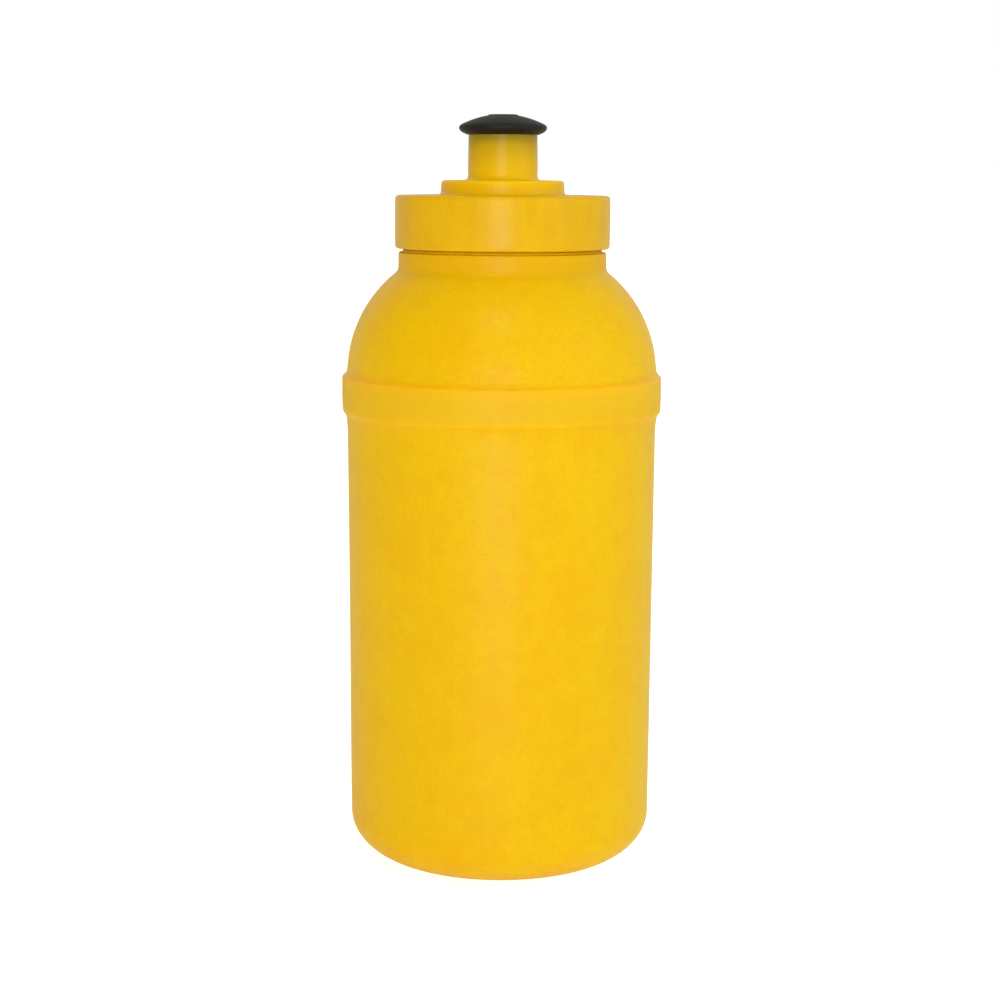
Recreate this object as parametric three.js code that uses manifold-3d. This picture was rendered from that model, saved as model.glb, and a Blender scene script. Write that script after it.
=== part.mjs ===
// A squeeze bottle with a screw cap and a push-pull drinking spout. Four pieces, on one axis:
//   bottle_body    blow-moulded shell with a grip band, a domed shoulder and a threaded neck
//   cap_seal_ring  flat gasket that the cap clamps on the neck's rim
//   screw_cap      moulded cap with its inside thread, the step, the spout stem and the stop pin
//   push_pull_tip  mushroom-shaped tip on a hollow shaft, which slides in the spout
// Millimetres, +Z up, with the origin in the middle of the base. The tip is pushed down (closed)
// and the cap is screwed home.

import * as THREE from 'three';
import { mergeVertices } from 'three/addons/utils/BufferGeometryUtils.js';
import Module from 'manifold-3d';

const wasm = await Module();
wasm.setup();

// ---- Bottle body ----
const BODY_RADIUS = 36.4;
const BODY_WALL = 1.2;
const WALL_DRAFT = 0.6; // how much narrower the wall is at its foot than under the band
const CORNER_WIDTH = 14.4; // the rounded base corner is a quarter of an ellipse
const CORNER_HEIGHT = 10.7;
const FOOT_WIDTH = 4.4; // flat ring that the bottle stands on
const PUSH_UP = 2.5; // hollow under the middle of the base
const PUSH_UP_SLOPE = 3.5;
const BAND_BOTTOM = 106.0;
const BAND_HEIGHT = 9.6;
const BAND_PROUD = 1.2;
const BAND_BEVEL = 1.3;
const SHOULDER_LAND = 0.4; // straight wall between the band and the dome
const DOME_RADIUS = 30.5; // radius of the dome's section
const COLLAR_HEIGHT = 4.1;
const COLLAR_PROUD = 1.85;
const COLLAR_FILLET = 0.8;
const COLLAR_CHAMFER = 0.3;

// ---- Neck and thread ----
const NECK_RADIUS = 22.5;
const NECK_WALL = 2.0;
const THREAD_DEPTH = 1.2;
const THREAD_LEAD = 4.233; // single start, right hand
const THREAD_TURNS = 1.25;
const THREAD_START = 2.6; // middle of the thread's lower end, above the collar
const RIM_LAND = 1.0; // plain neck above the thread
const RIM_CHAMFER = 0.4;
const THREAD_ROOT_WIDTH = 0.52 * THREAD_LEAD; // the thread's form goes with its lead
const THREAD_CREST_WIDTH = 0.24 * THREAD_LEAD;
const THREAD_EMBED = 0.5; // how deep the thread's root is sunk in the wall it stands on
const THREAD_FADE = 30; // degrees over which each end sinks into the wall

// ---- Seal ring ----
const SEAL_THICKNESS = 1.3;
const SEAL_GAP = 0.15; // above and below the ring
const SEAL_OVERHANG = 0.3; // past the neck's bore
const SEAL_SIDE_GAP = 0.65; // to the cap's inner wall

// ---- Screw cap ----
const CAP_WALL = 1.1;
const CAP_TOP = 1.9;
const CAP_RIM_GAP = 0.9; // open groove between the cap and the collar
const CAP_EDGE = 0.8; // rounding of the top edge
const CAP_CHAMFER = 0.35;
const CAP_THREAD_ANGLE = 120; // degrees round from where the neck's thread starts
const THREAD_CLEARANCE = 0.35; // radial, between the neck's and the cap's walls and crests
const FLANK_PLAY = 0.25; // axial play left on the side of the thread that carries the load
const STEP_RADIUS = 14.4;
const STEP_HEIGHT = 3.4;
const STEP_WALL = 1.8;
const STEP_EDGE = 0.7;

// ---- Spout, stop pin and tip ----
const SHAFT_RADIUS = 6.05;
const SHAFT_WALL = 1.6;
const SLIDE_CLEARANCE = 0.3; // between every pair of sliding surfaces
const BARB_PROUD = 0.55; // ring on the shaft that the spout's lip holds back
const BARB_HEIGHT = 1.2;
const SHAFT_NOSE = 0.3; // shaft below the barb
const SHAFT_FOOT_GAP = 1.1; // way for the drink between the shaft's end and the ribs below it
const TIP_TRAVEL = 6.0;
const STEM_HEIGHT = 10.6;
const STEM_WALL = 1.1;
const STEM_DRAFT = 0.15;
const STEM_FILLET = 0.8;
const SPOUT_LIP_HEIGHT = 1.2;
const PIN_RADIUS = 2.2;
const PIN_CHAMFER = 0.4;
const PIN_BELOW_TOP = 0.6; // the pin's end lies this far under the tip's top
const SPIDER_RIBS = 3;
const SPIDER_ANGLE = 30; // degrees round from +X to the first rib
const SPIDER_WIDTH = 1.8;
const SPIDER_HEIGHT = 1.7;
const TIP_RADIUS = 10.2;
const TIP_SEAT_GAP = 0.15; // between the tip and the stem's top
const TIP_EDGE = 0.85; // radius of the tip's round edge
const TIP_EDGE_START = -80; // degrees from level where the round edge leaves the underside
const TIP_EDGE_END = 50; // and where it meets the crown
const TIP_UNDERCUT = 0.35; // rise of the sloped underside
const TIP_CROWN_RISE = 2.5;
const TIP_LIP_RISE = 0.3; // raised rim around the drinking hole
const TIP_LIP_WIDTH = 0.9;
const TIP_LAND = 2.6; // length of the hole that closes on the pin

// ---- Facets ----
const ROUND_STEPS = 48; // round the bottle and the cap
const TIP_STEPS = 36; // round the tip and the pin
const OUTSIDE_ARC_STEPS = 8;
const INSIDE_ARC_STEPS = 6;
const EDGE_STEPS = 3;
const CROWN_STEPS = 5;

// ---- Sizes that follow from the ones above ----
const bandRadius = BODY_RADIUS + BAND_PROUD;
const bandTop = BAND_BOTTOM + BAND_HEIGHT;
const domeBottom = bandTop + SHOULDER_LAND;
const domeCentre = BODY_RADIUS - DOME_RADIUS; // its distance from the axis
const collarRadius = NECK_RADIUS + COLLAR_PROUD;
const collarBottom = domeBottom + domeRise(DOME_RADIUS, collarRadius);
const collarTop = collarBottom + COLLAR_HEIGHT;
const neckHeight = THREAD_START + THREAD_TURNS * THREAD_LEAD + THREAD_ROOT_WIDTH / 2 + RIM_LAND;
const rimTop = collarTop + neckHeight;
const boreRadius = NECK_RADIUS - NECK_WALL;

const capBore = NECK_RADIUS + THREAD_DEPTH + THREAD_CLEARANCE;
const capRadius = capBore + CAP_WALL;
const capCeiling = SEAL_THICKNESS + 2 * SEAL_GAP; // heights from here on are above the neck's rim
const capRim = CAP_RIM_GAP - neckHeight;
const capTop = capCeiling + CAP_TOP;
const stepTop = capTop + STEP_HEIGHT;
const stepCeiling = stepTop - STEP_WALL;
const stemTop = stepTop + STEM_HEIGHT;

const barbRadius = SHAFT_RADIUS + BARB_PROUD;
const spoutLipRadius = SHAFT_RADIUS + SLIDE_CLEARANCE;
const spoutBore = barbRadius + SLIDE_CLEARANCE;
const stemRadius = spoutBore + STEM_WALL;
const barbTop = -(SPOUT_LIP_HEIGHT + TIP_TRAVEL + SLIDE_CLEARANCE); // below the stem's top
const barbBottom = barbTop - BARB_HEIGHT;
const shaftEnd = barbBottom - SHAFT_NOSE;
const spiderFoot = stemTop + shaftEnd - SHAFT_FOOT_GAP - SPIDER_HEIGHT;
const boreFoot = Math.min(stepCeiling, spiderFoot); // the stem's wall reaches down to the ribs
const tipHole = PIN_RADIUS + SLIDE_CLEARANCE;
const tipLipRadius = tipHole + TIP_LIP_WIDTH;
const tipEdgeHeight = TIP_SEAT_GAP + TIP_UNDERCUT + TIP_EDGE; // heights above the stem's top
const tipEdgeCentre = TIP_RADIUS - TIP_EDGE;
const crownFoot = pointOn(tipEdgeCentre, tipEdgeHeight, TIP_EDGE, TIP_EDGE, TIP_EDGE_END);
const tipTop = crownHeight(tipLipRadius) + TIP_LIP_RISE;
const pinTop = tipTop - PIN_BELOW_TOP;

// Height over the dome's foot where an arc of this radius comes in to a distance from the axis.
function domeRise(arcRadius, distance) {
  return Math.sqrt(arcRadius ** 2 - (distance - domeCentre) ** 2);
}

// Height of the tip's crown, a shallow paraboloid that starts at the end of the round edge.
function crownHeight(distance) {
  return crownFoot[1] + TIP_CROWN_RISE * (1 - (distance / crownFoot[0]) ** 2);
}

// ---- Outlines: lists of [distance from the axis, height] ----

function pointOn(r, z, radiusAcross, radiusUp, degrees) {
  const angle = THREE.MathUtils.degToRad(degrees);
  return [r + radiusAcross * Math.cos(angle), z + radiusUp * Math.sin(angle)];
}

function arc(r, z, radiusAcross, radiusUp, from, to, steps) {
  const points = [];
  for (let i = 0; i <= steps; i++) {
    points.push(pointOn(r, z, radiusAcross, radiusUp, from + ((to - from) * i) / steps));
  }
  return points;
}

// ---- Solids ----

// A closed geometry as a manifold solid: shared vertices merged, slivers on the axis left out.
function solidOf(geometry) {
  geometry.deleteAttribute('normal');
  geometry.deleteAttribute('uv');
  const merged = mergeVertices(geometry, 1e-4);
  const corners = merged.index.array;
  const triangles = [];
  for (let i = 0; i < corners.length; i += 3) {
    const [a, b, c] = corners.slice(i, i + 3);
    if (a !== b && b !== c && c !== a) triangles.push(a, b, c);
  }
  const vertProperties = new Float32Array(merged.attributes.position.array);
  const triVerts = new Uint32Array(triangles);
  return new wasm.Manifold(new wasm.Mesh({ numProp: 3, vertProperties, triVerts }));
}

// An outline turned round the Z axis. It runs anticlockwise: outside upwards, inside downwards.
function turned(outline, steps) {
  const points = outline.map(([r, z]) => new THREE.Vector2(r, z));
  const geometry = new THREE.LatheGeometry(points, steps);
  return solidOf(geometry.rotateX(Math.PI / 2));
}

// A thread ridge on a wall: a trapezium swept up a helix, from its middle height at angle 0.
// Its ends sink into the wall.
function threadRidge({ wallRadius, crestRadius, startAngle, turns, height }) {
  const outward = Math.sign(crestRadius - wallRadius);
  const rootRadius = wallRadius - outward * THREAD_EMBED;
  const sunkRadius = wallRadius - (outward * THREAD_EMBED) / 3;
  const steps = Math.round(turns * ROUND_STEPS);
  const fadeSteps = (THREAD_FADE / 360) * ROUND_STEPS;
  const rows = [];
  for (let i = 0; i <= steps; i++) {
    const turn = startAngle / 360 + i / ROUND_STEPS;
    const angle = turn * 2 * Math.PI;
    const z = height + turn * THREAD_LEAD;
    const grown = Math.min(1, i / fadeSteps, (steps - i) / fadeSteps);
    const crest = sunkRadius + (crestRadius - sunkRadius) * grown;
    const section = [
      [rootRadius, z - THREAD_ROOT_WIDTH / 2],
      [crest, z - THREAD_CREST_WIDTH / 2],
      [crest, z + THREAD_CREST_WIDTH / 2],
      [rootRadius, z + THREAD_ROOT_WIDTH / 2],
    ];
    rows.push(section.map(([r, h]) => [r * Math.cos(angle), r * Math.sin(angle), h]));
  }
  const corners = [0, 1, 2, 3];
  const triangles = [];
  for (let i = 0; i < steps; i++) {
    for (const j of corners) {
      const here = i * 4 + j;
      const beside = i * 4 + ((j + 1) % 4);
      triangles.push(here, here + 4, beside, beside, here + 4, beside + 4);
    }
  }
  triangles.push(0, 1, 2, 0, 2, 3);
  const last = steps * 4;
  triangles.push(last, last + 2, last + 1, last, last + 3, last + 2);
  if (outward < 0) triangles.reverse();
  const geometry = new THREE.BufferGeometry();
  geometry.setAttribute('position', new THREE.Float32BufferAttribute(rows.flat(2), 3));
  geometry.setIndex(triangles);
  return solidOf(geometry);
}

function meshOf(name, solid, material) {
  const { vertProperties, triVerts } = solid.getMesh();
  const geometry = new THREE.BufferGeometry();
  geometry.setAttribute('position', new THREE.BufferAttribute(vertProperties, 3));
  geometry.setIndex(new THREE.BufferAttribute(triVerts, 1));
  geometry.computeVertexNormals();
  const mesh = new THREE.Mesh(geometry, material);
  mesh.name = name;
  return mesh;
}

// ---- bottle_body ----

// One face of the shell, from the middle of the base up to the foot of the neck. The inner face
// is the outer one moved in by the wall, so the shell is even in its base, wall, band and dome.
function shellFace(inset, topRadius, arcSteps) {
  const footRadius = BODY_RADIUS - WALL_DRAFT;
  const cornerCentre = footRadius - CORNER_WIDTH;
  const domeArc = DOME_RADIUS - inset;
  const domeEnd = THREE.MathUtils.radToDeg(Math.acos((topRadius - domeCentre) / domeArc));
  return [
    [0, PUSH_UP + inset],
    [cornerCentre - FOOT_WIDTH - PUSH_UP_SLOPE, PUSH_UP + inset],
    [cornerCentre - FOOT_WIDTH, inset],
    ...arc(
      cornerCentre, CORNER_HEIGHT, CORNER_WIDTH - inset, CORNER_HEIGHT - inset, -90, 0, arcSteps,
    ),
    [BODY_RADIUS - inset, BAND_BOTTOM + inset],
    [bandRadius - inset, BAND_BOTTOM + BAND_BEVEL + inset],
    [bandRadius - inset, bandTop - BAND_BEVEL - inset],
    [BODY_RADIUS - inset, bandTop - inset],
    ...arc(domeCentre, domeBottom, domeArc, domeArc, 0, domeEnd, arcSteps),
  ];
}

function makeBottleBody(material) {
  const outside = shellFace(0, collarRadius + COLLAR_FILLET, OUTSIDE_ARC_STEPS);
  const inside = shellFace(BODY_WALL, boreRadius, INSIDE_ARC_STEPS).reverse();
  const outline = [
    ...outside,
    [collarRadius, collarBottom + COLLAR_FILLET],
    [collarRadius, collarTop - COLLAR_CHAMFER],
    [collarRadius - COLLAR_CHAMFER, collarTop],
    [NECK_RADIUS, collarTop],
    [NECK_RADIUS, rimTop - RIM_CHAMFER],
    [NECK_RADIUS - RIM_CHAMFER, rimTop],
    [boreRadius, rimTop],
    ...inside,
  ];
  const thread = threadRidge({
    wallRadius: NECK_RADIUS,
    crestRadius: NECK_RADIUS + THREAD_DEPTH,
    startAngle: 0,
    turns: THREAD_TURNS,
    height: collarTop + THREAD_START,
  });
  return meshOf('bottle_body', turned(outline, ROUND_STEPS).add(thread), material);
}

// ---- cap_seal_ring ----

function makeSealRing(material) {
  const inner = boreRadius - SEAL_OVERHANG;
  const outer = capBore - SEAL_SIDE_GAP;
  const outline = [
    [inner, 0],
    [outer, 0],
    [outer, SEAL_THICKNESS],
    [inner, SEAL_THICKNESS],
    [inner, 0],
  ];
  return meshOf('cap_seal_ring', turned(outline, ROUND_STEPS), material);
}

// ---- screw_cap, with its heights above the neck's rim ----

function makeCapShell() {
  return turned([
    [spoutLipRadius, stemTop],
    [spoutLipRadius, stemTop - SPOUT_LIP_HEIGHT],
    [spoutBore, stemTop - SPOUT_LIP_HEIGHT],
    [spoutBore, boreFoot],
    [stemRadius, boreFoot],
    [stemRadius, stepCeiling],
    [STEP_RADIUS - STEP_WALL, stepCeiling],
    [STEP_RADIUS - STEP_WALL, capCeiling],
    [capBore, capCeiling],
    [capBore, capRim + CAP_CHAMFER],
    [capBore + CAP_CHAMFER, capRim],
    [capRadius - CAP_CHAMFER, capRim],
    [capRadius, capRim + CAP_CHAMFER],
    ...arc(capRadius - CAP_EDGE, capTop - CAP_EDGE, CAP_EDGE, CAP_EDGE, 0, 90, EDGE_STEPS),
    [STEP_RADIUS, capTop],
    ...arc(STEP_RADIUS - STEP_EDGE, stepTop - STEP_EDGE, STEP_EDGE, STEP_EDGE, 0, 90, EDGE_STEPS),
    ...arc(
      stemRadius + STEM_DRAFT + STEM_FILLET, stepTop + STEM_FILLET, STEM_FILLET, STEM_FILLET,
      -90, -180, EDGE_STEPS,
    ),
    [stemRadius, stemTop],
    [spoutLipRadius, stemTop],
  ], ROUND_STEPS);
}

// The cap's ridge lies between the turns of the neck's, close under the flank that holds it down.
function makeCapThread() {
  const drop = (THREAD_ROOT_WIDTH + THREAD_CREST_WIDTH) / 2 + FLANK_PLAY;
  return threadRidge({
    wallRadius: capBore,
    crestRadius: NECK_RADIUS + THREAD_CLEARANCE,
    startAngle: CAP_THREAD_ANGLE,
    turns: THREAD_TURNS,
    height: THREAD_START - neckHeight - drop,
  });
}

// The stop pin stands on a spider of ribs across the foot of the spout's bore, and water runs
// between the ribs.
function makeStopPin() {
  const end = stemTop + pinTop;
  let pin = turned([
    [0, spiderFoot],
    [PIN_RADIUS, spiderFoot],
    [PIN_RADIUS, end - PIN_CHAMFER],
    [PIN_RADIUS - PIN_CHAMFER, end],
    [0, end],
  ], TIP_STEPS);
  const reach = spoutBore + STEM_WALL / 2;
  for (let i = 0; i < SPIDER_RIBS; i++) {
    const rib = new THREE.BoxGeometry(reach, SPIDER_WIDTH, SPIDER_HEIGHT);
    rib.translate(reach / 2, 0, spiderFoot + SPIDER_HEIGHT / 2);
    rib.rotateZ(THREE.MathUtils.degToRad(SPIDER_ANGLE + (360 * i) / SPIDER_RIBS));
    pin = pin.add(solidOf(rib));
  }
  return pin;
}

function makeScrewCap(material) {
  return meshOf('screw_cap', makeCapShell().add(makeCapThread()).add(makeStopPin()), material);
}

// ---- push_pull_tip, with its heights above the stem's top ----

function makeTip(material) {
  const crown = [];
  for (let i = 1; i <= CROWN_STEPS; i++) {
    const r = crownFoot[0] + ((tipLipRadius - crownFoot[0]) * i) / CROWN_STEPS;
    crown.push([r, crownHeight(r)]);
  }
  const outline = [
    [SHAFT_RADIUS - SHAFT_WALL, shaftEnd],
    [SHAFT_RADIUS, shaftEnd],
    [barbRadius, barbBottom],
    [barbRadius, barbTop],
    [SHAFT_RADIUS, barbTop],
    [SHAFT_RADIUS, TIP_SEAT_GAP],
    [stemRadius, TIP_SEAT_GAP],
    ...arc(tipEdgeCentre, tipEdgeHeight, TIP_EDGE, TIP_EDGE, TIP_EDGE_START, TIP_EDGE_END, CROWN_STEPS),
    ...crown,
    [tipLipRadius - TIP_LIP_RISE / 2, tipTop],
    [tipHole + TIP_LIP_RISE, tipTop],
    [tipHole, tipTop - TIP_LIP_RISE],
    [tipHole, tipTop - TIP_LAND],
    [SHAFT_RADIUS - SHAFT_WALL, tipTop - TIP_LAND],
    [SHAFT_RADIUS - SHAFT_WALL, shaftEnd],
  ];
  return meshOf('push_pull_tip', turned(outline, TIP_STEPS), material);
}

// ---- Materials ----
const bodyPlastic = new THREE.MeshStandardMaterial({ color: 0xf0be14, roughness: 0.5, metalness: 0 });
const capPlastic = new THREE.MeshStandardMaterial({ color: 0xecb912, roughness: 0.45, metalness: 0 });
const tipPlastic = new THREE.MeshStandardMaterial({ color: 0x262425, roughness: 0.6, metalness: 0 });
const sealFoam = new THREE.MeshStandardMaterial({ color: 0xe9e6dc, roughness: 0.7, metalness: 0 });

// ---- Assembly: the cap sits on the neck's rim, and the tip on the spout's stem ----
const bottle = new THREE.Group();
bottle.add(makeBottleBody(bodyPlastic));

const closure = new THREE.Group();
closure.position.z = rimTop;
const sealRing = makeSealRing(sealFoam);
sealRing.position.z = SEAL_GAP;
closure.add(sealRing, makeScrewCap(capPlastic));

const tip = makeTip(tipPlastic);
tip.position.z = stemTop;
closure.add(tip);
bottle.add(closure);

export default bottle;
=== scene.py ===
"""Looks of a squeeze bottle with a screw cap and a push-pull drinking tip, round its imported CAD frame.

Outlines are in millimetres. A corner is (distance from the axis, height), with the size of its
rounding as a third number where it has one.
"""

import math

import bpy
import numpy as np
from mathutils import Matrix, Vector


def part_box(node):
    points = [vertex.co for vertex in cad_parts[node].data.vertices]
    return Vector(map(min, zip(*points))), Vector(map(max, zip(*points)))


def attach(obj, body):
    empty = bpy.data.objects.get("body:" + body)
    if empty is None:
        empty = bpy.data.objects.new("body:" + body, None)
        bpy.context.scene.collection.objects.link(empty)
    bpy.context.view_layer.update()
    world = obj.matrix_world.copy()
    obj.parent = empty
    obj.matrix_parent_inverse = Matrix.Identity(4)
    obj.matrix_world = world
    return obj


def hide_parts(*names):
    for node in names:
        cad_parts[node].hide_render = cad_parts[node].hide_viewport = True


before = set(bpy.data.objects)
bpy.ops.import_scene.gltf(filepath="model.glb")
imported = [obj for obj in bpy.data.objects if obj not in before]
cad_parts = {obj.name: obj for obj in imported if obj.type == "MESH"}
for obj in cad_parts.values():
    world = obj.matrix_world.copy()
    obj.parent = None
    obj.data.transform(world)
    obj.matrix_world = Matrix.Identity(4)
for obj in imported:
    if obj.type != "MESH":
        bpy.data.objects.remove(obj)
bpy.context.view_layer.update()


# ---- Bottle ----
# A blow-moulded shell of soft low-density polyethylene, about 1.2 mm thick, so that it can be
# squeezed. The mould's halves meet at the sides and leave a fine parting line, and the base keeps
# the weld where they pinched the hot tube shut. The grip band is blown out of the same wall.

MM = 0.001

BODY_RADIUS = 36.4
BODY_WALL = 1.2
FOOT_RADIUS = 35.8
CORNER_WIDTH = 14.4
CORNER_HEIGHT = 10.7
FOOT_WIDTH = 4.4
PUSH_UP = 2.5
PUSH_UP_SLOPE = 3.5
BAND_BOTTOM = 106.0
BAND_TOP = 115.6
DOME_FOOT = 116.0
DOME_RADIUS = 30.5
DOME_START = 5
COLLAR_RADIUS = 24.35
COLLAR_CROWN = 0.25
NECK_SHOULDER = 23.35
NECK_SHOULDER_HEIGHT = 0.75
NECK_RADIUS = 22.5
NECK_BORE = 20.5
NECK_HEIGHT = 9.992

THREAD_DEPTH = 1.2
THREAD_LEAD = 4.233
THREAD_TURNS = 1.25
THREAD_START = 2.6
THREAD_ROOT = 0.52 * THREAD_LEAD
THREAD_CREST = 0.24 * THREAD_LEAD
THREAD_FADE = 30 / 360

PARTING_HEIGHT = 0.08
PARTING_WIDTH = 0.17
PARTING_STEPS = (0.07, 0.14, 0.22, 0.34, 0.5)
WELD_HEIGHT = 0.5
WELD_WIDTH = 0.6
WELD_REACH = 13.0
WALL_WANDER = 0.035

THREAD_ROWS = 0.22
WALL_ROWS = 2.5
ROW_BESIDE = 1.25
SHARP_ANGLE = 40

band_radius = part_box("bottle_body")[1].x / MM
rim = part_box("bottle_body")[1].z / MM
collar_top = rim - NECK_HEIGHT
dome_centre = BODY_RADIUS - DOME_RADIUS
corner_centre = FOOT_RADIUS - CORNER_WIDTH


def arc(r, z, across, up, start, end, steps):
    """Points on an ellipse round (r, z), between two angles in degrees."""
    angles = np.radians(np.linspace(start, end, steps + 1))
    return [(r + across * math.cos(a), z + up * math.sin(a)) for a in angles]


def dome_arc(radius, r_end, steps):
    """Points up a dome of this radius, from DOME_START degrees to where it comes in to r_end."""
    end = math.degrees(math.acos((r_end - dome_centre) / radius))
    return arc(dome_centre, DOME_FOOT, radius, radius, DOME_START, end, steps)


def dome_height(radius, r):
    """How high a dome of this radius is at a distance from the axis."""
    return DOME_FOOT + math.sqrt(radius**2 - (r - dome_centre) ** 2)


def rounded(corners, steps=6):
    """Points along the corners, with each rounding drawn as a curve. Where there is room, a row
    close beside it, at ROW_BESIDE times its size, keeps the flats flat in the smooth shading."""
    cuts = [corner[2] if len(corner) == 3 else 0 for corner in corners]
    points = []
    for i, corner in enumerate(corners):
        here = np.array(corner[:2], float)
        cut, following = cuts[i], (i + 1) % len(corners)
        if cut == 0:
            points.append(here)
            continue
        back = np.array(corners[i - 1][:2]) - here
        on = np.array(corners[following][:2]) - here
        before, after = np.hypot(*back), np.hypot(*on)
        back, on = back / before, on / after
        if before > ROW_BESIDE * (cut + cuts[i - 1]):
            points.append(here + back * cut * ROW_BESIDE)
        for t in np.linspace(0, 1, steps + 1):
            points.append(here + (1 - t) ** 2 * back * cut + t**2 * on * cut)
        if after > ROW_BESIDE * (cut + cuts[following]):
            points.append(here + on * cut * ROW_BESIDE)
    return points


def spun(corners, columns, longest):
    """An outline turned round the axis, as arrays of radius, height and angle with a row for each
    point and a column for each angle. No row is further than longest(height) from the next. An
    outline that doesn't start on the axis closes on itself."""
    points = rounded(corners)
    ends = points[1:] if corners[0][0] == 0 else points[1:] + points[:1]
    rows = []
    for one, other in zip(points, ends):
        count = max(1, math.ceil(np.hypot(*(other - one)) / longest((one[1] + other[1]) / 2)))
        rows += [one + (other - one) * k / count for k in range(count)]
    if corners[0][0] == 0:
        rows.append(points[-1])
    grid = np.repeat(np.array(rows)[:, :, None], len(columns), axis=2)
    return grid[:, 0], grid[:, 1], np.broadcast_to(columns, grid[:, 0].shape)


def skin(r, z, angle):
    """The vertices and faces of a spun outline. A row on the axis is one vertex."""
    vertices, faces, rows = [], [], []
    for row_r, row_z, row_angle in zip(r, z, angle):
        first = len(vertices)
        if row_r.max() < 1e-6:
            vertices.append((0, 0, row_z[0] * MM))
            rows.append([first] * len(row_r))
            continue
        around = np.stack([row_r * np.cos(row_angle), row_r * np.sin(row_angle), row_z], axis=1)
        vertices += [tuple(v) for v in around * MM]
        rows.append(list(range(first, len(vertices))))
    if r[0].max() > 1e-6:
        rows.append(rows[0])
    for lower, upper in zip(rows, rows[1:]):
        for j, here in enumerate(lower):
            beside = (j + 1) % len(lower)
            faces.append(list(dict.fromkeys([here, lower[beside], upper[beside], upper[j]])))
    return vertices, faces


def solid(name, vertices, faces):
    """A smooth-shaded object, sharp only where two faces meet at more than SHARP_ANGLE."""
    mesh = bpy.data.meshes.new(name)
    mesh.from_pydata(vertices, [], faces)
    mesh.polygons.foreach_set("use_smooth", [True] * len(mesh.polygons))
    mesh.set_sharp_from_angle(angle=math.radians(SHARP_ANGLE))
    mesh.update()
    made = bpy.data.objects.new(name, mesh)
    bpy.context.scene.collection.objects.link(made)
    return made


def even_columns(count):
    """Angles evenly spaced round the axis."""
    return np.arange(count) * 2 * math.pi / count


def smooth(t):
    """From 0 to 1 with soft ends, while t goes from 0 to 1."""
    t = np.clip(t, 0, 1)
    return t * t * (3 - 2 * t)


def thread_ridge(z, angle, start_turn, height):
    """How far a thread stands off its wall, from 0 to 1, with soft flanks and ends that fade.
    Its middle would be at this height at angle 0, and it starts less than a turn on, at start_turn.
    No thread here is longer than two turns."""
    ridge = np.zeros_like(z)
    for whole in range(3):
        turn = angle / (2 * math.pi) + whole
        run = turn - start_turn
        off = abs(z - height - turn * THREAD_LEAD)
        flank = smooth((THREAD_ROOT / 2 - off) / (THREAD_ROOT / 2 - THREAD_CREST / 2))
        ends = smooth(run / THREAD_FADE) * smooth((THREAD_TURNS - run) / THREAD_FADE)
        ridge = np.maximum(ridge, flank * ends)
    return ridge


def shell_rows(z):
    """How far apart the shell's rows may be at a height: close together where the thread is."""
    return THREAD_ROWS if z > collar_top + 0.4 else WALL_ROWS


inner_wall = BODY_RADIUS - BODY_WALL
inner_dome = DOME_RADIUS - BODY_WALL
inner_band = band_radius - BODY_WALL
collar_foot = dome_height(DOME_RADIUS, COLLAR_RADIUS)
shell_outline = [
    (0, PUSH_UP),
    (corner_centre - FOOT_WIDTH - PUSH_UP_SLOPE, PUSH_UP, 2.0),
    (corner_centre - FOOT_WIDTH, 0, 1.0),
    *arc(corner_centre, CORNER_HEIGHT, CORNER_WIDTH, CORNER_HEIGHT, -90, 0, 28),
    (BODY_RADIUS - 0.05, BAND_BOTTOM - 2.2, 2.0),
    (BODY_RADIUS + 0.3, BAND_BOTTOM + 0.4, 0.4),
    (band_radius - 0.1, BAND_BOTTOM + 1.6, 0.5),
    (band_radius, BAND_BOTTOM + 4.0, 1.5),
    (band_radius, BAND_TOP - 0.05, 0.35),
    (BODY_RADIUS + 0.15, BAND_TOP + 0.75, 0.75),
    *dome_arc(DOME_RADIUS, COLLAR_RADIUS + 1.3, 44),
    (COLLAR_RADIUS, collar_foot, 1.0),
    (COLLAR_RADIUS, collar_top + COLLAR_CROWN, 0.45),
    (NECK_SHOULDER, collar_top + COLLAR_CROWN, 0.25),
    (NECK_SHOULDER, collar_top + NECK_SHOULDER_HEIGHT, 0.2),
    (NECK_RADIUS, collar_top + NECK_SHOULDER_HEIGHT + 0.4, 0.4),
    (NECK_RADIUS, rim, 0.5),
    (NECK_BORE, rim, 0.5),
    (NECK_BORE, dome_height(inner_dome, NECK_BORE), 0.8),
    *reversed(dome_arc(inner_dome, NECK_BORE + 1.2, 20)),
    (inner_wall, BAND_TOP - BODY_WALL, 0.4),
    (inner_band, BAND_TOP - BODY_WALL - 1.3, 0.5),
    (inner_band, BAND_BOTTOM + BODY_WALL + 1.3, 0.5),
    (inner_wall, BAND_BOTTOM + BODY_WALL, 0.4),
    *arc(corner_centre, CORNER_HEIGHT, CORNER_WIDTH - BODY_WALL, CORNER_HEIGHT - BODY_WALL, 0, -90, 16),
    (corner_centre - FOOT_WIDTH, BODY_WALL, 0.8),
    (corner_centre - FOOT_WIDTH - PUSH_UP_SLOPE, PUSH_UP + BODY_WALL, 1.5),
    (0, PUSH_UP + BODY_WALL),
]
beside_parting = [side + way * step / BODY_RADIUS
                  for side in (0, math.pi) for way in (-1, 1) for step in PARTING_STEPS]
shell_columns = np.sort(np.concatenate([even_columns(180), np.mod(beside_parting, 2 * math.pi)]))
r, z, angle = spun(shell_outline, shell_columns, longest=shell_rows)

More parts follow.
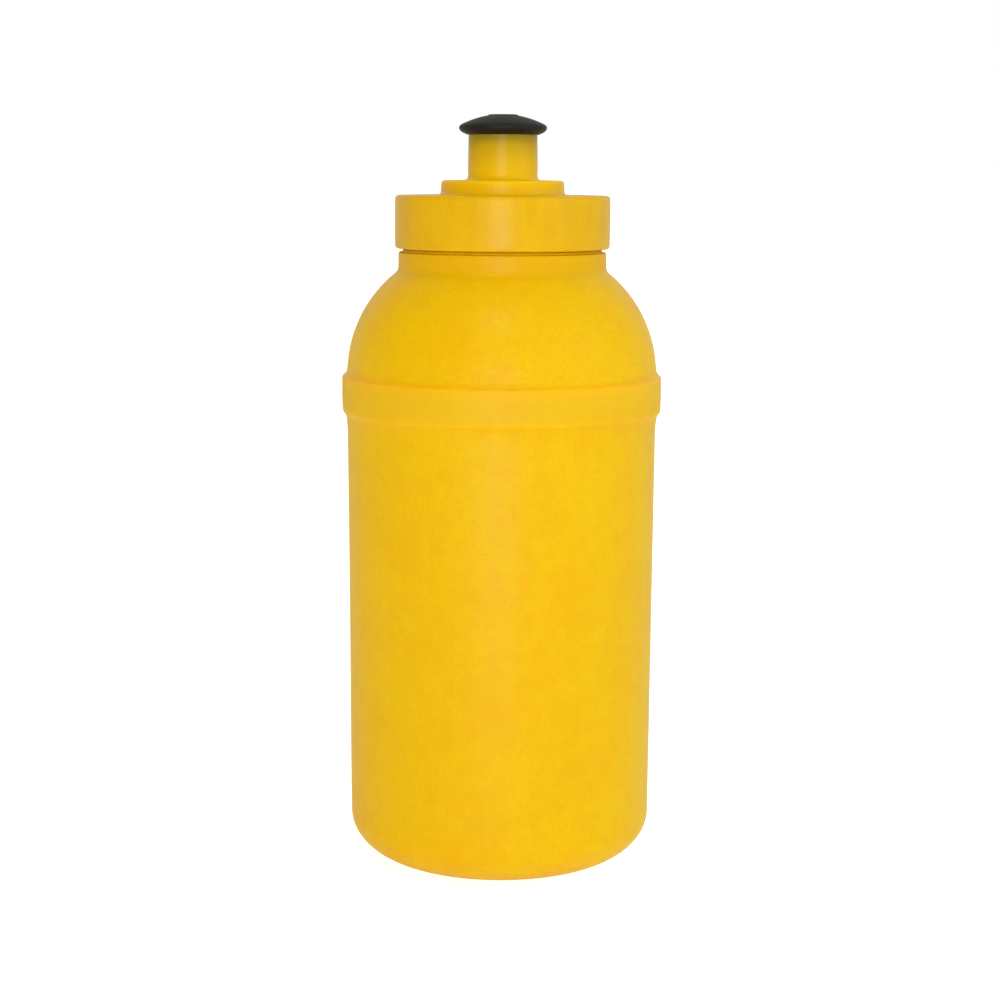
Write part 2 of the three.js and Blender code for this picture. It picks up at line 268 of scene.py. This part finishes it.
# The blown wall is slightly uneven. The parting line stands off it, the thread stands off the neck,
# and the weld hangs a little below the hollow of the base.
outside = np.arange(len(r))[:, None] < np.argmax(z[:, 0])
neck = outside & (z > collar_top + 0.3)
wall = outside & ~neck & (r > corner_centre)
from_parting = abs(r * np.sin(angle))
wander = np.sin(2 * angle + z / 31) * np.sin(z / 19 + 1) + 0.6 * np.sin(5 * angle - z / 14)
ends = smooth((r - corner_centre) / 4) * smooth((collar_top - 0.3 - z) / 2)
r = r + wall * ends * WALL_WANDER * wander
r = r + wall * ends * PARTING_HEIGHT * np.exp(-((from_parting / PARTING_WIDTH) ** 2))
thread = thread_ridge(z, angle, 0, collar_top + THREAD_START)
r = r + neck * (r > NECK_RADIUS - 0.01) * THREAD_DEPTH * thread
weld = smooth((WELD_REACH - r) / 4) * np.exp(-((from_parting / WELD_WIDTH) ** 4))
z = z - outside * (z < PUSH_UP + 0.1) * WELD_HEIGHT * weld
bottle = solid("bottle_shell", *skin(r, z, angle))


class Signal:
    """One output in a material's nodes. Arithmetic on signals adds Math nodes."""

    def __init__(self, tree, socket=None):
        self.tree = tree
        self.socket = socket

    def node(self, kind, settings, inputs, output=None):
        """Adds a node: first its settings, then a number or a signal for each socket, by name or
        in order. Gives back the output of this name, or else the first."""
        made = self.tree.nodes.new("ShaderNode" + kind)
        for setting, value in settings.items():
            setattr(made, setting, value)
        sockets = [s for s in made.inputs if s.enabled]
        if isinstance(inputs, dict):
            inputs = [(next(s for s in sockets if s.name == name), v) for name, v in inputs.items()]
        else:
            inputs = list(zip(sockets, inputs))
        for socket, value in inputs:
            if isinstance(value, Signal):
                self.tree.links.new(value.socket, socket)
            else:
                socket.default_value = value
        outputs = [s for s in made.outputs if s.enabled and output in (None, s.name)]
        return Signal(self.tree, outputs[0] if outputs else None)

    def math(self, operation, *values):
        return self.node("Math", {"operation": operation}, values)

    def __add__(self, other):
        return self.math("ADD", self, other)

    def __mul__(self, other):
        return self.math("MULTIPLY", self, other)

    def __sub__(self, other):
        return self.math("SUBTRACT", self, other)

    def __rsub__(self, other):
        return self.math("SUBTRACT", other, self)

    __radd__ = __add__
    __rmul__ = __mul__

    def rise(self, low, high):
        """From 0 where this signal is low to 1 where it is high, with soft ends."""
        return self.node("MapRange", {"interpolation_type": "SMOOTHSTEP"},
                         {"Value": self, "From Min": low, "From Max": high})

    def near(self, level, width):
        """1 at a level of this signal, down to 0 at a distance from it."""
        return 1 - self.math("ABSOLUTE", self - level).rise(0, width)

    def noise(self, per_metre, detail=2.0, roughness=0.5):
        """Noise over a position, with about this many features to the metre."""
        return self.node("TexNoise", {}, {"Vector": self, "Scale": per_metre, "Detail": detail,
                                          "Roughness": roughness})

    def stretched(self, x, y, z):
        """A position scaled by these, so that noise over it is long where they are small."""
        return self.node("VectorMath", {"operation": "MULTIPLY"}, [self, (x, y, z)])

    def height(self):
        """How high a position is."""
        return self.node("SeparateXYZ", {}, [self], output="Z")

    def from_axis(self):
        """How far a position is from the axis."""
        return self.node("VectorMath", {"operation": "LENGTH"}, [self.stretched(1, 1, 0)])

    def mix(self, one, other):
        """One colour where this signal is 0 and the other where it is 1."""
        return self.node("Mix", {"data_type": "RGBA"}, {"Factor": self, "A": one, "B": other})


def new_material(name):
    """An empty material, and a signal of the place on its piece, in metres."""
    made = bpy.data.materials.new(name)
    made.use_nodes = True
    made.node_tree.nodes.clear()
    place = Signal(made.node_tree).node("TexCoord", {}, {}, output="Object")
    return made, place


def set_plastic(colour, roughness, relief, depth, **fixed):
    """Closes a material: a plastic of this colour and roughness over a relief of this depth in
    metres. What is fixed all over goes straight to the shader's sockets, with _ for a space."""
    normal = relief.node("Bump", {}, {"Height": relief, "Distance": depth})
    shader = relief.node("BsdfPrincipled", {}, {
        "Base Color": colour, "Roughness": roughness, "Normal": normal,
        **{name.replace("_", " "): value for name, value in fixed.items()},
    })
    relief.node("OutputMaterial", {}, {"Surface": shader})


SCUFF_HEIGHT = 1.6

BODY_YELLOW = (0.850, 0.475, 0.002, 1)
BODY_ORANGE = (0.835, 0.425, 0.002, 1)
BODY_SPECK = (0.775, 0.420, 0.003, 1)
BODY_RUBBED = (0.740, 0.430, 0.020, 1)
# The next colour is painted shade for the collar, and the one after it a painted glow for the neck.
COLLAR_PAINTED_SHADE = (0.700, 0.390, 0.002, 1)
NECK_PAINTED_GLOW = (0.950, 0.500, 0.002, 1)

# Soft clouds, long flow lines and dark flecks mottle the plastic. The grip band and the foot are
# rubbed pale. A painted glow on the thin neck stands for light coming through it, and the thicker
# collar below it is painted darker, as painted shade.
body_plastic, place = new_material("soft_yellow_polyethylene")
height = place.height()
cloud = place.noise(55, detail=3)
flow = place.stretched(1, 1, 0.05).noise(350)
patches = place.noise(280, detail=3)
tone = (cloud * 0.4 + flow * 0.2 + patches * 0.4).rise(0.36, 0.6)
fleck = place.noise(1500).rise(0.42, 0.68)
scuffs = place.stretched(1, 1, 6).noise(220, detail=4, roughness=0.65).rise(0.56, 0.7)
on_band = place.from_axis().rise((band_radius - 0.3) * MM, (band_radius + 0.05) * MM)
on_foot = height.near(0, SCUFF_HEIGHT * MM) * scuffs
colour = (fleck * 0.6).mix(tone.mix(BODY_ORANGE, BODY_YELLOW), BODY_SPECK)
colour = (on_band * (scuffs * 0.3 + 0.45) + on_foot * 0.6).mix(colour, BODY_RUBBED)
# Painted shade darkens the collar.
colour = height.rise((collar_foot - 2) * MM, (collar_foot + 1.5) * MM).mix(colour, COLLAR_PAINTED_SHADE)
# A painted glow lights the neck above the collar, for light coming through the wall.
colour = height.rise(collar_top * MM, (collar_top + 0.3) * MM).mix(colour, NECK_PAINTED_GLOW)
peel = place.noise(800)
grain = place.noise(3200)
set_plastic(
    colour,
    roughness=0.31 + cloud * 0.06 + grain * 0.08 + on_band * 0.08,
    relief=peel * 0.7 + grain * 0.3,
    depth=0.00007,
    Specular_IOR_Level=0.10,
    Subsurface_Weight=0.7,
    Subsurface_Scale=0.004,
    Subsurface_Radius=(1.0, 0.4, 0.02),
)
bottle.data.materials.append(body_plastic)
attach(bottle, "bottle")
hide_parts("bottle_body")


# ---- Seal ring ----
# A flat gasket of closed-cell polyethylene foam, stamped from sheet and pressed up into the cap.
# The bottle's rim has left a shallow groove in its underside.

SEAL_EDGE = 0.12
RIM_PRINT = 0.07
RIM_PRINT_EDGE = 0.3
SEAL_WANDER = 0.03
SEAL_PLAY = 0.3

seal_low, seal_high = (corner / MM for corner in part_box("cap_seal_ring"))
seal_inner = NECK_BORE - SEAL_PLAY
seal_outline = [
    (seal_inner, seal_low.z, SEAL_EDGE),
    (seal_high.x, seal_low.z, SEAL_EDGE),
    (seal_high.x, seal_high.z, SEAL_EDGE),
    (seal_inner, seal_high.z, SEAL_EDGE),
]
r, z, angle = spun(seal_outline, even_columns(180), longest=lambda z: 0.2)
under_rim = smooth((r - NECK_BORE) / RIM_PRINT_EDGE) * smooth((NECK_RADIUS - r) / RIM_PRINT_EDGE)
z = z + (z < seal_low.z + 0.01) * RIM_PRINT * under_rim
r = r + SEAL_WANDER * np.sin(7 * angle + z * 3)
seal = solid("foam_seal", *skin(r, z, angle))

FOAM_WHITE = (0.80, 0.78, 0.71, 1)
# The next colour is painted shade for the pits of the foam's cells.
FOAM_PIT_PAINTED_SHADE = (0.60, 0.57, 0.49, 1)

foam, place = new_material("white_seal_foam")
cells = place.node("TexVoronoi", {}, {"Vector": place, "Scale": 4200.0})
# The cells' pits are painted darker: painted shade.
colour = cells.rise(0.1, 0.6).mix(FOAM_PIT_PAINTED_SHADE, FOAM_WHITE)
set_plastic(
    colour,
    roughness=0.62 + place.noise(900) * 0.2,
    relief=cells,
    depth=0.00005,
    Specular_IOR_Level=0.3,
)
seal.data.materials.append(foam)
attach(seal, "seal")
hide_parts("cap_seal_ring")


# ---- Cap ----
# One injection moulding in a harder yellow polyethylene: a plain skirt with the thread inside, a
# round step over it, and the spout's stem. A stop pin stands in the stem on three ribs, and water
# runs between them. The tool leaves a fine line round the skirt's foot and a gate mark on the pin.

CAP_WALL = 1.1
SEAL_TO_CEILING = 0.15
CAP_TOP = 1.9
STEP_RADIUS = 14.4
STEP_HEIGHT = 3.4
STEP_WALL = 1.8
STEM_HEIGHT = 10.6
STEM_FOOT = 8.15
STEM_RADIUS = 8.0
STEM_BORE = 6.9
SPOUT_LIP = 6.35
SPOUT_LIP_HEIGHT = 1.2
PIN_RADIUS = 2.2
GATE_RADIUS = 0.55
GATE_DEPTH = 0.12
RIB_WIDTH = 1.8
RIB_HEIGHT = 1.7
RIB_REACH = 7.4
RIB_ANGLES = (30, 150, 270)
CAP_THREAD_TURN = 1 / 3
THREAD_PLAY = 0.25
SKIRT_WANDER = 0.015
TOOL_LINE_HEIGHT = 1.1
TOOL_LINE_WIDTH = 0.18
TOOL_LINE_DEPTH = 0.05

cap_low, cap_high = (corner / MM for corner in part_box("screw_cap"))
cap_foot = cap_low.z
cap_radius = cap_high.x
cap_bore = cap_radius - CAP_WALL
ceiling = seal_high.z + SEAL_TO_CEILING
cap_top = ceiling + CAP_TOP
step_top = cap_top + STEP_HEIGHT
chamber_top = step_top - STEP_WALL
stem_top = step_top + STEM_HEIGHT
lip_foot = stem_top - SPOUT_LIP_HEIGHT
thread_drop = (THREAD_ROOT + THREAD_CREST) / 2 + THREAD_PLAY


def cap_rows(z):
    """How far apart the cap's rows may be at a height: close together down the threaded skirt."""
    return 0.25 if z < ceiling - 0.3 else 1.2


cap_outline = [
    (cap_bore, cap_foot + 0.15, 0.3),
    (cap_radius - 0.12, cap_foot + 0.15, 0.6),
    (cap_radius, cap_foot + 2.5, 1.0),
    (cap_radius, cap_top - 2.0, 0.8),
    (cap_radius - 0.08, cap_top - 0.1, 0.9),
    (STEP_RADIUS + 0.1, cap_top + 0.15, 0.6),
    (STEP_RADIUS, step_top - 1.6, 0.4),
    (STEP_RADIUS - 0.04, step_top - 0.05, 0.9),
    (STEM_FOOT, step_top + 0.1, 1.0),
    (STEM_RADIUS, stem_top, 0.15),
    (SPOUT_LIP, stem_top, 0.25),
    (SPOUT_LIP, lip_foot, 0.2),
    (STEM_BORE, lip_foot - 0.35, 0.2),
    (STEM_BORE, chamber_top, 0.25),
    (STEP_RADIUS - STEP_WALL, chamber_top, 0.5),
    (STEP_RADIUS - STEP_WALL, ceiling, 0.3),
    (cap_bore, ceiling, 0.4),
]
r, z, angle = spun(cap_outline, even_columns(192), longest=cap_rows)
bore = (abs(r - cap_bore) < 0.01) & (z > cap_foot + 0.3) & (z < ceiling - 0.4)
thread_height = collar_top + THREAD_START - thread_drop
r = r - bore * THREAD_DEPTH * thread_ridge(z, angle, CAP_THREAD_TURN, thread_height)
skirt = (r > cap_radius - 0.3) & (z > cap_foot + 0.5) & (z < cap_top - 0.9)
r = r + skirt * SKIRT_WANDER * np.sin(3 * angle + z / 3)
from_tool_line = (z - cap_foot - TOOL_LINE_HEIGHT) / TOOL_LINE_WIDTH
r = r + skirt * TOOL_LINE_DEPTH * np.exp(-(from_tool_line**2))
cap = solid("screw_cap_moulding", *skin(r, z, angle))


def merge(piece, other):
    """Joins another solid into a piece, as one closed skin."""
    union = piece.modifiers.new("union", "BOOLEAN")
    union.operation = "UNION"
    union.solver = "EXACT"
    union.object = other
    bpy.context.view_layer.update()
    whole = bpy.data.meshes.new_from_object(piece.evaluated_get(bpy.context.evaluated_depsgraph_get()))
    piece.modifiers.clear()
    piece.data = whole
    piece.data.name = piece.name
    piece.data.set_sharp_from_angle(angle=math.radians(SHARP_ANGLE))
    bpy.data.objects.remove(other)


pin_outline = [
    (0, chamber_top - 0.15),
    (PIN_RADIUS - 0.3, chamber_top - 0.15, 0.2),
    (PIN_RADIUS, chamber_top + 0.4, 0.2),
    (PIN_RADIUS, cap_high.z, 0.45),
    (GATE_RADIUS + 0.15, cap_high.z, 0.1),
    (GATE_RADIUS, cap_high.z - GATE_DEPTH, 0.08),
    (0, cap_high.z - GATE_DEPTH),
]
pin = solid("stop_pin", *skin(*spun(pin_outline, even_columns(48), longest=lambda z: 1.5)))
for degrees in RIB_ANGLES:
    along = np.array([math.cos(math.radians(degrees)), math.sin(math.radians(degrees))])
    across = np.array([-along[1], along[0]]) * RIB_WIDTH / 2
    plan = [across, -across, along * RIB_REACH - across, along * RIB_REACH + across]
    low, high = chamber_top + 0.1, chamber_top + RIB_HEIGHT
    corners = [(x * MM, y * MM, level * MM) for level in (low, high) for x, y in plan]
    sides = [[i, (i + 1) % 4, (i + 1) % 4 + 4, i + 4] for i in range(4)]
    merge(pin, solid("rib", corners, [[3, 2, 1, 0], [4, 5, 6, 7], *sides]))
merge(cap, pin)

TIP_SHADE_REACH = 3.2

CAP_YELLOW = (0.695, 0.400, 0.002, 1)
CAP_SHADE = (0.640, 0.355, 0.002, 1)
# The next three colours are painted light: a painted glow for the thin top, painted shade up the stem
# and a painted shadow under the tip.
CAP_TOP_PAINTED_GLOW = (0.810, 0.500, 0.002, 1)
STEM_PAINTED_SHADE = (0.455, 0.285, 0.002, 1)
TIP_PAINTED_SHADOW = (0.300, 0.205, 0.010, 1)

# Painted light: the thin top and step are painted lighter, for the light that comes through them.
# Up the stem painted shade darkens the yellow, for the black shaft inside it, and close to the top
# a painted shadow stands for the tip that covers it.
cap_plastic, place = new_material("hard_yellow_polyethylene")
height = place.height()
cloud = place.noise(70, detail=3)
fleck = place.noise(1700)
flow = place.stretched(1, 1, 0.15).noise(500)
tone = (cloud * 0.4 + flow * 0.25 + fleck * 0.35).rise(0.36, 0.6)
colour = tone.mix(CAP_SHADE, CAP_YELLOW)
# Painted glow on the thin top and step.
colour = height.rise((cap_top - 0.4) * MM, (cap_top + 0.6) * MM).mix(colour, CAP_TOP_PAINTED_GLOW)
# Painted shade darkens the stem upwards.
colour = height.rise((step_top - 1) * MM, stem_top * MM).mix(colour, STEM_PAINTED_SHADE)
# Painted shadow of the tip on the top of the stem.
colour = height.rise((stem_top - TIP_SHADE_REACH) * MM, stem_top * MM).mix(colour, TIP_PAINTED_SHADOW)
peel = place.noise(1000)
grain = place.noise(3600)
set_plastic(
    colour,
    roughness=0.25 + cloud * 0.06 + grain * 0.08,
    relief=peel * 0.6 + grain * 0.4,
    depth=0.00003,
    Specular_IOR_Level=0.16,
    Subsurface_Weight=0.2,
    Subsurface_Scale=0.003,
    Subsurface_Radius=(1.0, 0.6, 0.02),
)
cap.data.materials.append(cap_plastic)
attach(cap, "cap")
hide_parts("screw_cap")


# ---- Drinking tip ----
# A black moulding of a softer, slightly rubbery plastic: a flat mushroom with a raised rim round
# its hole, on a hollow shaft that snaps past the spout's lip and is held back by a barb. Pushed
# down, its hole closes on the stop pin.

SHAFT_RADIUS = 6.05
SHAFT_BORE = 4.45
BARB_RADIUS = 6.6
BARB_HEIGHT = 1.2
SHAFT_NOSE = 0.3
SEAT_GAP = 0.06
SKIRT_DROP = 0.2
CROWN_SAG = 0.025
CROWN_TOP = 4.56
HOLE_RADIUS = 2.5
HOLE_RIM = 0.95
HOLE_LAND = 2.6

tip_low, tip_high = (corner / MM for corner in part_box("push_pull_tip"))
seat = stem_top + SEAT_GAP
barb_foot = tip_low.z + SHAFT_NOSE


def crown(r):
    """How high the mushroom's shallow crown is at a distance from the axis."""
    return stem_top + CROWN_TOP - CROWN_SAG * r**2


rim_foot = HOLE_RADIUS + HOLE_RIM
tip_outline = [
    (SHAFT_BORE, tip_low.z, 0.2),
    (SHAFT_RADIUS - 0.1, tip_low.z, 0.15),
    (BARB_RADIUS, barb_foot + 0.35, 0.2),
    (BARB_RADIUS, barb_foot + BARB_HEIGHT, 0.12),
    (SHAFT_RADIUS, barb_foot + BARB_HEIGHT, 0.15),
    (SHAFT_RADIUS, seat, 0.15),
    (STEM_RADIUS + 0.2, seat, 0.05),
    (STEM_RADIUS + 0.25, stem_top - SKIRT_DROP, 0.1),
    (tip_high.x - 0.6, seat + 0.32, 0.4),
    (tip_high.x - 0.02, seat + 0.95, 0.35),
    (tip_high.x + 0.06, seat + 1.7, 0.4),
    *[(r, crown(r)) for r in np.linspace(tip_high.x - 0.65, rim_foot + 0.5, 10)],
    (rim_foot + 0.1, crown(rim_foot + 0.1), 0.12),
    (rim_foot - 0.2, crown(rim_foot) + 0.24, 0.2),
    (HOLE_RADIUS + 0.15, crown(rim_foot) + 0.16, 0.25),
    (HOLE_RADIUS, crown(rim_foot) - 0.4, 0.2),
    (HOLE_RADIUS, crown(rim_foot) - HOLE_LAND, 0.2),
    (SHAFT_BORE, crown(rim_foot) - HOLE_LAND, 0.6),
]
r, z, angle = spun(tip_outline, even_columns(144), longest=lambda z: 0.6)
tip = solid("drinking_tip", *skin(r, z, angle))

TIP_BLACK = (0.0045, 0.0036, 0.006, 1)
TIP_WORN = (0.014, 0.013, 0.015, 1)

tip_plastic, place = new_material("soft_black_plastic")
cloud = place.noise(260, detail=3)
grain = place.noise(3800, detail=3, roughness=0.6)
rub = place.stretched(1, 1, 2).noise(900, detail=4, roughness=0.6).rise(0.5, 0.72)
edge = place.from_axis().rise((tip_high.x - 1) * MM, tip_high.x * MM)
colour = (cloud.rise(0.35, 0.8) * 0.3 + edge * rub * 0.5).mix(TIP_BLACK, TIP_WORN)
set_plastic(
    colour,
    roughness=0.44 + cloud * 0.14 + grain * 0.1,
    relief=grain * 0.6 + cloud * 0.4,
    depth=0.00005,
    Specular_IOR_Level=0.24,
)
tip.data.materials.append(tip_plastic)
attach(tip, "tip")
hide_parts("push_pull_tip")


# ---- Studio ----
# A white paper sweep in a tent of pale cloth, yellowish at the sides and almost white behind. One
# lamp is high, two upright strips stand by the lens, a low one lights the foot and a broad one
# fills in from far to the right.

EYE_DISTANCE = 0.520
EYE_HEIGHT = 0.1637
EYE_TILT = 8.51
EYE_ROLL = 0.3
LENS = 79.5
LENS_SHIFT = -0.0011
AIM_HEIGHT = 0.09

camera = bpy.data.objects.new("camera", bpy.data.cameras.new("camera"))
camera.data.lens = LENS
camera.data.shift_x = LENS_SHIFT
camera.location = (0, -EYE_DISTANCE, EYE_HEIGHT)
camera.rotation_mode = "ZYX"  # the roll about the lens comes before the tilt
camera.rotation_euler = (math.radians(90 - EYE_TILT), 0, math.radians(EYE_ROLL))
bpy.context.scene.collection.objects.link(camera)
bpy.context.scene.camera = camera


def lamp(name, azimuth, elevation, distance, width, height, light, tint=(1, 1, 1)):
    """A flat lamp that faces the bottle's middle, turned right from the lens and lifted by these
    degrees. light is how brightly it alone lights a white card there."""
    made = bpy.data.lights.new(name, "AREA")
    made.shape = "RECTANGLE"
    made.size = width
    made.size_y = height
    made.color = tint
    made.energy = light * (math.pi * distance) ** 2
    holder = bpy.data.objects.new(name, made)
    turn, lift = math.radians(azimuth), math.radians(elevation)
    holder.location = (
        distance * math.cos(lift) * math.sin(turn),
        -distance * math.cos(lift) * math.cos(turn),
        distance * math.sin(lift) + AIM_HEIGHT,
    )
    holder.rotation_euler = (math.pi / 2 - lift, 0, turn)
    bpy.context.scene.collection.objects.link(holder)


lamp("high", -4, 50, 1.3, 0.16, 0.10, 0.17)
lamp("front", 1, 3, 1.3, 0.06, 0.40, 0.15)
lamp("front_left", -12, 9, 1.3, 0.06, 0.30, 0.07, (1, 0.95, 0.9))
lamp("low_front", -3, -4, 0.5, 0.10, 0.12, 0.16, (0.85, 1, 1.2))
lamp("fill_right", 65, 20, 1.2, 0.8, 0.8, 0.14, (0.93, 1, 0.98))

TENT_LEFT = (0.54, 0.46, 0.12, 1)
TENT_RIGHT = (0.69, 0.69, 0.40, 1)
TENT_BACK = (0.78, 0.76, 0.76, 1)

# The tent's colours light the bottle, and the lens sees plain white behind it.
world = bpy.data.worlds.new("pale_tent")
world.use_nodes = True
world.node_tree.nodes.clear()
start = Signal(world.node_tree)
seen = start.node("LightPath", {}, {}, output="Is Camera Ray")
way = start.node("TexCoord", {}, {}, output="Generated")
across = start.node("SeparateXYZ", {}, [way], output="X")
away = start.node("SeparateXYZ", {}, [way], output="Y")
colour = away.rise(0.1, 0.9).mix(across.rise(-0.9, 0.9).mix(TENT_LEFT, TENT_RIGHT), TENT_BACK)
tent = start.node("Background", {}, {"Color": colour})
backdrop = start.node("Background", {}, {"Color": (1, 1, 1, 1)})
start.node("OutputWorld", {}, {"Surface": start.node("MixShader", {}, [seen, tent, backdrop])})
bpy.context.scene.world = world
bpy.context.scene.view_settings.view_transform = "Standard"

FLOOR_SIZE = 400.0
PAPER_ROUGHNESS = 0.8
PAPER_GLOW = 0.85
BOUNCE_GLOW = 0.27
WHITE = (1, 1, 1, 1)

# The lens sees the sweep as evenly lit white paper, the bottle gets a softer bounce from it, and
# from below it is clear, so that the base can be looked at.
half = FLOOR_SIZE / 2
floor = solid("floor", [(-half, -half, 0), (half, -half, 0), (half, half, 0), (-half, half, 0)],
              [[0, 1, 2, 3]])
paper = bpy.data.materials.new("white_paper_sweep")
paper.use_nodes = True
paper.node_tree.nodes.clear()
start = Signal(paper.node_tree)
fibre = start.node("TexCoord", {}, {}, output="Object").noise(600, detail=3)
white = fibre.mix((0.88, 0.88, 0.88, 1), (0.92, 0.92, 0.92, 1))
lit = start.node("BsdfPrincipled", {}, {
    "Base Color": white, "Roughness": PAPER_ROUGHNESS,
    "Emission Color": WHITE, "Emission Strength": PAPER_GLOW,
})
bounce = start.node("BsdfPrincipled", {}, {
    "Base Color": (0.78, 0.78, 0.78, 1), "Roughness": PAPER_ROUGHNESS,
    "Emission Color": WHITE, "Emission Strength": BOUNCE_GLOW,
})
seen = start.node("LightPath", {}, {}, output="Is Camera Ray")
above = start.node("MixShader", {}, [seen, bounce, lit])
underside = start.node("NewGeometry", {}, {}, output="Backfacing")
clear = start.node("BsdfTransparent", {}, {})
start.node("OutputMaterial", {}, {"Surface": start.node("MixShader", {}, [underside, above, clear])})
floor.data.materials.append(paper)
